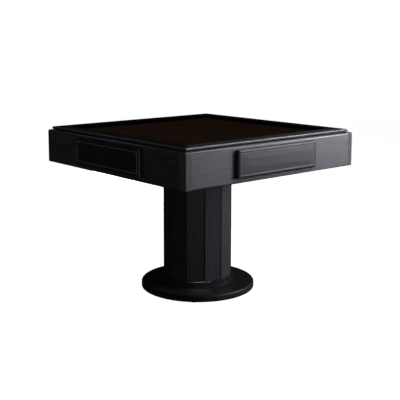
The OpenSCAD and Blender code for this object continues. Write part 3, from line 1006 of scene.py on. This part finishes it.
@dataclass
class Pedestal:
    """The staved column on its plinth and weighted base, under the steel head plate.

    Attributes:
        staves: Number of staves.
        stave_easing: Width of the easing along a stave's edges, in metres.
        foot: Height of the plinth's underside.
        plinth: Height of its top.
        plinth_top: Radius of its top.
        plinth_foot: Radius of its foot.
        plinth_round: Radius of its top edge.
        bore: Radius of the bore through it.
        base: Radius of the base.
        base_low: Height of its underside.
        base_round: Radius of its upper edge.
        base_under: Radius of its lower edge.
        pocket: Radius of the weight's pocket.
        pocket_top: Height of the pocket's ceiling.
        glides: Number of glides.
        glide_circle: Radius of the circle that they stand on.
        glide: Radius of a glide.
        glide_top: Height of a glide's top.
        glide_round: Radius of a glide's lower edge.
        facets: Number of facets round the turned pieces.
        bolts: Number of bolts into each end of the column.
        bolt_circle: Radius of the circle that they stand on.
        bolt_low: Height of the base bolts' shoulders.
        bolt_high: Height of the column bolts' shoulders, in the head plate.
        crate_low: Height of the crate bolts' shoulders.
        crate_bolt: Distance of the crate bolts from each middle line.
    """

    staves: int = 12
    stave_easing: float = 0.6 * MM
    foot: float = 35 * MM
    plinth: float = 69 * MM
    plinth_top: float = 172 * MM
    plinth_foot: float = 174 * MM
    plinth_round: float = 5 * MM
    bore: float = 40 * MM
    base: float = 268.5 * MM
    base_low: float = 3 * MM
    base_round: float = 11 * MM
    base_under: float = 5 * MM
    pocket: float = 222.5 * MM
    pocket_top: float = 19 * MM
    glides: int = 8
    glide_circle: float = 245.5 * MM
    glide: float = 15 * MM
    glide_top: float = 5 * MM
    glide_round: float = 1.2 * MM
    facets: int = 160
    bolts: int = 6
    bolt_circle: float = 95 * MM
    bolt_low: float = 9 * MM
    bolt_high: float = 599.5 * MM
    crate_low: float = 598.5 * MM
    crate_bolt: float = 229 * MM

    def build(self) -> None:
        """Build the column, its foot and its metalwork."""
        self.column()
        self.turned()
        self.metalwork()
        for node in ("column_head", "column_foot"):
            dress(node, BirchPlywood(name="former_plywood", grain=Grain.ALONG_X,
                                     across=Grain.ALONG_Z))
        # The splines are stained plywood, drawn near black as painted shade, so that the grooves
        # between the staves read dark
        dress("column_splines", BirchPlywood(name="spline_plywood", grain=Grain.ALONG_Z,
                                             across=Grain.ALONG_X, tone="#161514",
                                             streak="#100f0f", glue="#0c0b0b"))

    def column(self) -> None:
        """Build one stave from the CAD node and set twelve round the axis."""
        turn = 360 / self.staves
        stave = ease(from_node("column_staves", 0, turn), self.stave_easing)
        gap = stave.faces.layers.float.new("gap")
        broad = max(stave.faces, key=BMFace.calc_area)
        for face in stave.faces:
            # Of all that lies behind a stave's broad face, only the groove shows: it is marked for
            # painted shade
            behind = broad.calc_center_median() - face.calc_center_median()
            face[gap] = float(behind.dot(broad.normal) > 1 * MM)
        finish = StainedOak(name="column_oak", grain=Grain.ALONG_Z, pith=(0, 0, 0),
                            tone="#25252b", shade="#1d1d22", pit="#111114", rub="#323238",
                            ring=3.2 * MM, waver=22 * MM, gloss=0.46, relief=0.12 * MM)
        piece("column_stave_ring", repeat(stave, on_circle(self.staves, 0, 0)), finish,
              ["column_staves"])

    def turned(self) -> None:
        """Turn the plinth ring and the base, in satin lacquer over stained oak."""
        lacquer = dict(tone="#1a1a1d", shade="#161618", pit="#0e0e0f", rub="#222226",
                       relief=0.1 * MM, waver=20 * MM)
        ring = lathe([(self.bore, self.foot), (self.plinth_foot, self.foot),
                      (self.plinth_top, self.plinth), (self.bore, self.plinth)],
                     {2: self.plinth_round}, self.facets)
        piece("plinth_ring", ring, StainedOak(
            name="plinth_oak", grain=Grain.ALONG_X, pith=(0, -0.4, 0), gloss=0.26, **lacquer),
            ["plinth"])
        slab = lathe([(0, self.pocket_top), (self.pocket, self.pocket_top),
                      (self.pocket, self.base_low), (self.base, self.base_low),
                      (self.base, self.foot), (0, self.foot)],
                     {3: self.base_under, 4: self.base_round}, self.facets)
        piece("base_disc", slab, StainedOak(
            name="base_oak", grain=Grain.ALONG_X, pith=(0, 0.1, -0.3), gloss=0.45, **lacquer),
            ["base"])
        glide = lathe([(0, 0), (self.glide, 0), (self.glide, self.glide_top),
                       (0, self.glide_top)], {1: self.glide_round}, steps=32)
        places = on_circle(self.glides, self.glide_circle, 0)
        piece("floor_glides", repeat(glide, places), NYLON, ["glides"])

    def metalwork(self) -> None:
        """Ease the plates and build the bolts with their sockets."""
        for name, node, easing in (("steel_head_plate", "head_plate", 0.8 * MM),
                                   ("steel_base_weight", "base_weight", 1.0 * MM)):
            piece(name, ease(from_node(node), easing), POWDER, [node])
        at = self.crate_bolt
        flip = Matrix.Rotation(math.pi, 4, "X")
        for name, nodes, bolt, places in (
            ("base_socket_bolts", ["base_bolts"],
             SocketScrew(shank=5, length=87.5, head=8.5, rise=5.5, socket=3.4),
             on_circle(self.bolts, self.bolt_circle, self.bolt_low)),
            ("crate_socket_bolts", ["head_bolts"],
             SocketScrew(shank=4, length=46.5, head=7.5, rise=5, socket=2.9),
             [side.turn @ Matrix.Translation((at, at, self.crate_low)) for side in Side]),
            ("column_socket_bolts", [],
             SocketScrew(shank=4, length=34.5, head=7.5, rise=5, socket=2.9),
             [place @ flip
              for place in on_circle(self.bolts, self.bolt_circle, self.bolt_high)]),
        ):
            piece(name, repeat(bolt.shape(), places), ZINC, nodes)


@dataclass
class Drawer:
    """One drawer: its leather face, its plywood box and its slides.

    Sizes of the face are drawn flat, with the width along X, the height along Y and the
    leather upwards, and stand_up puts them before the apron.

    Attributes:
        side: The side of the table that the drawer is in.
        width: Width of the face, in metres.
        height: Height of the face.
        board: Thickness of the board in the face.
        box_board: Thickness of the box's front end behind it.
        box_easing: Width of the easing on the box's boards.
        pad: Leather and foam over the board.
        wrap: Leather round the board's edges.
        edge: Radius of the leather at the edge of the face.
        corner: Radius of the face's corners.
        seam: Distance of the sewn line from the edge.
        seam_depth: Depth that the sewn line is drawn in.
        seam_width: Width of the channel that it draws in.
        waist: How far the sides pull in below the padding.
        strip: Height of the soft roll outside the sewn line.
        rise: Width over which the padding rises behind the sewn line.
        crown: Height of the padding in the middle.
        pucker: Half the depth of the pucker at a stitch hole.
        pull: How far a pucker reaches.
        waves: Height of the foam's slow waves.
        wave_pitch: Number of these waves in a metre.
        cell: Size of the mesh cells on the leather.
        stitch: Pitch of the stitches.
        thread: Radius of the thread.
        slant: Turn of a stitch out of the sewn line, in degrees.
        front: Distance of the back of the face from the table's middle.
        middle: Height of the middle of the face.
        screw_x: Places of the face's screws along it.
        screw_z: Heights of the face's screws.
    """

    side: Side
    width: float = 476 * MM
    height: float = 119.5 * MM
    board: float = 12 * MM
    box_board: float = 12 * MM
    box_easing: float = 0.5 * MM
    pad: float = 5 * MM
    wrap: float = 3 * MM
    edge: float = 8 * MM
    corner: float = 5 * MM
    seam: float = 15 * MM
    seam_depth: float = 0.7 * MM
    seam_width: float = 4.8 * MM
    waist: float = 0.45 * MM
    strip: float = 0.2 * MM
    rise: float = 26 * MM
    crown: float = 0.85 * MM
    pucker: float = 0.09 * MM
    pull: float = 3 * MM
    waves: float = 0.15 * MM
    wave_pitch: float = 22.0
    cell: float = 1.5 * MM
    stitch: float = 9 * MM
    thread: float = 0.75 * MM
    slant: float = 5.0
    front: float = 508.5 * MM
    middle: float = 674.75 * MM
    screw_x: tuple[float, float] = (-150 * MM, 150 * MM)
    screw_z: tuple[float, float] = (662 * MM, 700 * MM)

    @property
    def body(self) -> str:
        """The CAD body that the drawer moves with."""
        return f"{self.side.word}_drawer"

    @property
    def thick(self) -> float:
        """Thickness of the board with its leather, at the sewn line's edge."""
        return self.board + self.pad

    def stand_up(self) -> Matrix:
        """Give the move from the flat drawing to the face's place on its side."""
        return (self.side.turn @ Matrix.Translation((0, -self.front, self.middle))
                @ Matrix.Rotation(math.pi / 2, 4, "X"))

    def build(self) -> None:
        """Build the face, the box and what holds them."""
        self.leather_face()
        self.stitching()
        self.box()
        word = self.side.word
        for node in (f"{word}_drawer_runners", f"{word}_middle_slides"):
            dress(node, ZINC)
        dress(f"{word}_drawer_board", BirchPlywood(
            name=f"face_plywood_{word}", grain=self.side.grain, across=self.side.depth))
        self.face_screws()

    def leather_face(self) -> None:
        """Build the padded leather, wrapped round the board and open behind for it."""
        bm = bmesh.new()
        flat_x, flat_y = self.width - 2 * self.edge, self.height - 2 * self.edge
        bmesh.ops.create_grid(
            bm, x_segments=round(flat_x / self.cell), y_segments=round(flat_y / self.cell),
            size=0.5, matrix=Matrix.Diagonal((flat_x, flat_y, 1, 1)))
        bmesh.ops.translate(bm, verts=bm.verts, vec=(0, 0, self.thick))
        face = list(bm.verts)
        for inset, height in self.edge_path():
            self.grow_rim(bm, inset, height)
        bmesh.ops.contextual_create(bm, geom=[edge for edge in bm.edges if edge.is_boundary])
        for vert in face:
            vert.co.z += self.padding(vert.co)
        bmesh.ops.transform(bm, matrix=self.stand_up(), verts=bm.verts)
        bmesh.ops.recalc_face_normals(bm, faces=bm.faces)
        made = piece(f"{self.side.word}_leather_face", bm, LEATHER,
                     [f"{self.side.word}_drawer_leather"], self.body, sharp=60.0)

    def edge_path(self) -> list[tuple[float, float]]:
        """Give the way of the leather over the edge, down the side and into the pocket.

        Returns:
            The inset from the outline and the height of each step, in metres.
        """
        low = self.thick - self.edge
        over = [(self.edge * (1 - math.sin(angle)), low + self.edge * math.cos(angle))
                for angle in map(math.radians, range(15, 91, 15))]
        # The side pulls in a little between the padded edge and the fold behind
        down = [(self.waist * math.sin(math.pi * share), low * share)
                for share in (0.8, 0.6, 0.4, 0.2)]
        # It folds round to the back in 0.8 mm
        fold = [(0.3 * MM, 0.3 * MM), (0.8 * MM, 0.0)]
        return over + down + fold + [(self.wrap, 0.0), (self.wrap, self.board)]

    def grow_rim(self, bm: BMesh, inset: float, height: float) -> None:
        """Extrude the open rim to its next step.

        Args:
            bm: The leather so far.
            inset: The step's inset from the outline, in metres.
            height: Its height.
        """
        new, _ = extrude(bm, [edge for edge in bm.edges if edge.is_boundary])
        half = Vector((self.width / 2 - inset, self.height / 2 - inset))
        old = Vector((max(abs(v.co.x) for v in new), max(abs(v.co.y) for v in new)))
        radius = max(self.corner - inset, 1 * MM)
        for vert in new:
            x, y = vert.co.x * half.x / old.x, vert.co.y * half.y / old.y
            over = Vector((abs(x) - half.x + radius, abs(y) - half.y + radius))
            if min(over) > 0:
                over = over.normalized() * radius
                x = math.copysign(half.x - radius + over.x, x)
                y = math.copysign(half.y - radius + over.y, y)
            vert.co = (x, y, height)

    def padding(self, at: Vector) -> float:
        """Work out how far the leather stands above the plane of the face.

        Args:
            at: A point on the flat drawing of the face.

        Returns:
            The height above that plane, in metres.
        """
        from_x, from_y = self.width / 2 - abs(at.x), self.height / 2 - abs(at.y)
        inset, along = (from_x, at.y) if from_x < from_y else (from_y, at.x)
        off = abs(inset - self.seam)
        half = self.seam_width / 2
        height = 0.0
        if off < half:
            height -= self.seam_depth * (1 + math.cos(math.pi * off / half)) / 2
        elif inset < self.seam:
            share = (inset - self.edge) / (self.seam - half - self.edge)
            height += self.strip * math.sin(math.pi * share)
        share = min(max((inset - self.seam - half) / self.rise, 0.0), 1.0)
        height += self.crown * (1 - math.cos(math.pi * share)) / 2
        # Each hole pulls a short pucker into the leather beside it
        near = math.exp(-((off - half) / self.pull) ** 2)
        height -= self.pucker * near * (1 + math.cos(math.tau * along / self.stitch))
        # No two faces have the same waves
        own = Vector((0, 0, 7.3 * self.side.value))
        return height + self.waves * share * noise.noise(at * self.wave_pitch + own)

    def stitching(self) -> None:
        """Sew the line of stitches, each one a short sunk length of thread."""
        bm = bmesh.new()
        bmesh.ops.create_uvsphere(bm, u_segments=6, v_segments=6, radius=1)
        bmesh.ops.rotate(bm, verts=bm.verts, matrix=Matrix.Rotation(math.pi / 2, 3, "Y"))
        # Of each pitch, 0.72 shows as thread, and the rest is in the holes
        bmesh.ops.scale(bm, verts=bm.verts, vec=(0.36 * self.stitch, self.thread, self.thread))
        # A quarter of the thread's radius is pulled into the leather
        height = self.thick - self.seam_depth + 0.75 * self.thread
        slant = Matrix.Rotation(math.radians(self.slant), 4, "Z")
        stand = self.stand_up()
        places = []
        for length, off, angle in (
            (self.width - 2 * self.seam, self.height / 2 - self.seam, 0),
            (self.height - 2 * self.seam, self.width / 2 - self.seam, 90),
        ):
            count = round(length / self.stitch)
            for turn in (angle, angle + 180):
                spin = Matrix.Rotation(math.radians(turn), 4, "Z")
                for number in range(count):
                    along = length * ((number + 0.5) / count - 0.5)
                    places.append(stand @ spin @ Matrix.Translation((along, off, height)) @ slant)
        piece(f"{self.side.word}_stitching", repeat(bm, places), THREAD, body=self.body)

    def box(self) -> None:
        """Ease the boards of the box, with the plies of each across its own thickness."""
        word, along, inward = self.side.word, self.side.grain, self.side.depth
        for part, grain, across in (("side", inward, along), ("end", along, inward)):
            node = f"{word}_drawer_box_{part}s"
            finish = BirchPlywood(name=f"box_{part}_plywood_{word}", grain=grain, across=across)
            piece(f"{word}_box_{part}s", ease(from_node(node), self.box_easing), finish,
                  [node], self.body)
        dress(f"{word}_drawer_box_floor", BirchPlywood(
            name=f"box_floor_plywood_{word}", grain=along, across=Grain.ALONG_Z))

    def face_screws(self) -> None:
        """Screw the face on from inside the box."""
        screw = SocketScrew(shank=2, length=20, head=4, rise=2, socket=1.7)
        inner = self.front - self.box_board
        forward = Matrix.Rotation(math.pi / 2, 4, "X")
        places = [
            self.side.turn @ Matrix.Translation((x, -inner, z)) @ forward
            for x in self.screw_x for z in self.screw_z]
        piece(f"{self.side.word}_face_screws", repeat(screw.shape(), places), ZINC,
              body=self.body)


@dataclass(frozen=True)
class Lamp:
    """A soft rectangular lamp.

    Attributes:
        name: The lamp's name.
        at: Its place, in metres.
        to: The point that it faces.
        size: Its width and height.
        power: Its power in watts.
        only: The pieces that it reaches, where it doesn't reach them all.
        flagged_off: Pieces that flags keep its light from.
    """

    name: str
    at: Point
    to: Point
    size: tuple[float, float]
    power: float
    only: tuple[str, ...] = ()
    flagged_off: tuple[str, ...] = ()

    def hang(self, gloss: bool) -> None:
        """Hang the lamp.

        Args:
            gloss: Whether it only shows in glossy surfaces, or else only lights them evenly.
        """
        light = bpy.data.lights.new(self.name, "AREA")
        light.shape = "RECTANGLE"
        light.size, light.size_y = self.size
        light.energy = self.power
        lamp = link(self.name, light)
        lamp.location = self.at
        way = Vector(self.to) - Vector(self.at)
        lamp.rotation_euler = way.to_track_quat("-Z", "Y").to_euler()
        lamp.visible_camera = False
        lamp.visible_glossy, lamp.visible_diffuse = gloss, not gloss
        if self.only or self.flagged_off:
            linked = bpy.data.collections.new(f"{self.name}_pieces")
            for number, reached in enumerate((*self.only, *self.flagged_off)):
                linked.objects.link(bpy.data.objects[reached])
                if number >= len(self.only):
                    linked.collection_objects[number].light_linking.link_state = "EXCLUDE"
            lamp.light_linking.receiver_collection = linked


FRONT, LEFT, RIGHT, BACK = (
    tuple(f"{side}_{part}" for part in ("apron_board", "leather_face", "stitching"))
    for side in ("front", "left", "right", "back"))
NEAR_POST, RIGHT_POST, LEFT_POST, FAR_POST = (
    f"{corner}_corner_post" for corner in ("front_left", "front_right", "back_left", "back_right"))
FRONT += (RIGHT_POST,)
RIM, COLUMN, PLINTH, BASE = "front_rim_rail", "column_stave_ring", "plinth_ring", "base_disc"
MIDDLE = (0, 0, 0.5)
# Lamps that light each side evenly and don't show in its gloss
EVEN_LAMPS = (
    Lamp("key_softbox", (1.7, -1.9, 0.5), (0.2, -0.4, 0.62), (1.2, 0.5), 80, flagged_off=FRONT),
    Lamp("low_key", (1.7, -1.9, 0.5), (0.2, -0.4, 0.62), (1.2, 0.5), 26, FRONT),
    Lamp("high_key", (1.5, -1.6, 2.0), (0, -0.5, 0.68), (0.5, 0.4), 86, FRONT),
    Lamp("front_fill", (-1.7, -3.7, 0.4), MIDDLE, (1.6, 0.7), 21, flagged_off=LEFT + FRONT),
    Lamp("left_fill", (-3.2, 2.0, 0.7), MIDDLE, (1.6, 0.7), 9),
    Lamp("seam_light", (-3.2, -1.2, 0.7), MIDDLE, (0.5, 0.5), 28, ("left_stitching",)),
    Lamp("post_light", (-3.2, 1.2, 0.5), MIDDLE, (0.7, 0.7), 28, (NEAR_POST,)),
    Lamp("base_fill", (1.4, -1.6, 1.1), (-0.1, -0.2, 0.03), (0.5, 0.5), 26, (BASE,)),
    Lamp("back_fill", (0.9, 3.2, 0.4), MIDDLE, (1.6, 0.7), 50),
    Lamp("top_fill", (-0.3, -0.6, 4.2), (0, 0, 0), (3.0, 3.0), 9),
)
# Lamps that show only in the gloss, each of the pieces that it is meant for
GLOSS_LAMPS = (
    Lamp("edge_light", (1.96, -1.57, 1.21), (0, -0.51, 0.68), (1.3, 0.8), 73,
         FRONT + (NEAR_POST, COLUMN)),
    Lamp("brow_light", (0.76, -1.83, 2.26), (0, -0.51, 0.68), (0.8, 0.5), 50,
         FRONT + (NEAR_POST, RIM)),
    Lamp("rim_light", (2.0, -0.95, 2.1), (0.3, -0.49, 0.76), (0.9, 0.8), 66, (RIM,)),
    Lamp("column_light", (-2.1, -2.6, 0.3), (-0.1, -0.1, 0.35), (0.5, 0.5), 5, (COLUMN,)),
    Lamp("foot_light", (-0.94, -1.59, 1.5), (-0.06, -0.15, 0.07), (1.7, 0.35), 50, (PLINTH,)),
    Lamp("base_light", (1.5, -1.5, 1.4), (0, -0.1, 0.07), (0.9, 0.5), 22, (BASE,)),
    Lamp("left_edge_light", (-0.8, 1.66, 2.2), (-0.5, 0, 0.76), (0.9, 0.6), 2,
         ("left_apron_board", "left_rim_rail")),
    Lamp("left_light", (-2.0, -2.0, 0.3), (-0.2, -0.2, 0.66), (1.2, 0.6), 12,
         FRONT + LEFT + (LEFT_POST,)),
    Lamp("far_light", (2.0, 2.0, 0.3), (0.2, 0.2, 0.6), (1.2, 0.6), 15,
         RIGHT + BACK + (FAR_POST, LEFT_POST)),
)


@dataclass
class Studio:
    """The stage, the lights and the camera.

    Attributes:
        floor: Radius of the flat floor, in metres.
        sweep: Radius of the curve from the floor up to the backdrop.
        wall: Height of the backdrop.
        eye: Place of the camera.
        tilt: Turn of the camera about X, in degrees.
        heading: Turn of the camera about Z, in degrees.
        lens: Focal length in millimetres on a sensor 36 mm wide.
        shift: Shift of the lens, as a share of the picture.
    """

    floor: float = 7.0
    sweep: float = 2.0
    wall: float = 9.0
    eye: Point = (-2.4302, -2.7872, 1.1874)
    tilt: float = 82.822
    heading: float = -40.37
    lens: float = 71.319
    shift: tuple[float, float] = (0.03, -0.16)

    def build(self) -> None:
        """Build the stage, light it and set the camera."""
        self.stage()
        self.world()
        for gloss, lamps in ((False, EVEN_LAMPS), (True, GLOSS_LAMPS)):
            for lamp in lamps:
                lamp.hang(gloss)
        self.camera()
        bpy.context.scene.view_settings.view_transform = "Standard"
        bpy.context.scene.cycles.use_denoising = True

    def stage(self) -> None:
        """Build the pale floor that sweeps up into the backdrop all round."""
        bm = bmesh.new()
        bmesh.ops.create_circle(bm, cap_ends=True, segments=96, radius=self.floor)
        rim = [edge for edge in bm.edges if edge.is_boundary]
        steps = [(self.floor + self.sweep * math.sin(angle), self.sweep * (1 - math.cos(angle)))
                 for angle in map(math.radians, range(10, 91, 10))]
        for reach, height in (*steps, (self.floor + self.sweep, self.wall)):
            new, rim = extrude(bm, rim)
            wider = reach / new[0].co.xy.length
            bmesh.ops.scale(bm, vec=(wider, wider, 1), verts=new)
            bmesh.ops.translate(bm, vec=(0, 0, height - new[0].co.z), verts=new)
        mesh = bpy.data.meshes.new("studio_sweep")
        bm.to_mesh(mesh)
        bm.free()
        mesh.shade_smooth()
        mesh.materials.append(self.paper())
        sweep = link("studio_sweep", mesh)
        # The photograph's light on the table has nothing of the white round it
        sweep.visible_diffuse = sweep.visible_glossy = sweep.visible_shadow = False

    @staticmethod
    def paper() -> Material:
        """Build seamless background paper, lit evenly so that it stays pale.

        Returns:
            The material.
        """
        made = bpy.data.materials.new("background_paper")
        tree = empty_tree(made)
        shader = add_node(tree, "BsdfPrincipled", {
            "Base Color": "#f4f4f4", "Roughness": 1.0, "Specular IOR Level": 0.0,
            "Emission Color": "#ffffff", "Emission Strength": 0.965})
        add_node(tree, "OutputMaterial", [shader])
        return made

    @staticmethod
    def world() -> None:
        """Set a dim even light all round, which fills the shaded sides."""
        world = bpy.data.worlds.new("studio_air")
        tree = empty_tree(world)
        shine = add_node(tree, "LightPath").outputs["Is Glossy Ray"]
        level = add_node(tree, "MapRange", {"Value": shine, "To Min": 0.02, "To Max": 0.006})
        air = add_node(tree, "Background", {"Color": "#ffffff", "Strength": level})
        add_node(tree, "OutputWorld", [air])
        bpy.context.scene.world = world

    def camera(self) -> None:
        """Set the camera at the photograph's viewing angle."""
        data = bpy.data.cameras.new("camera")
        data.lens = self.lens
        data.shift_x, data.shift_y = self.shift
        camera = link("camera", data)
        camera.location = self.eye
        camera.rotation_euler = (math.radians(self.tilt), 0, math.radians(self.heading))
        bpy.context.scene.camera = camera


def main() -> None:
    """Build the table and its studio, and report each piece."""
    logging.basicConfig(level=logging.INFO, format="%(message)s")
    dress("outer_slides", ZINC)
    Carcass().build()
    Top().build()
    Pedestal().build()
    for side in Side:
        Drawer(side).build()
    Studio().build()


if __name__ == "__main__":
    main()
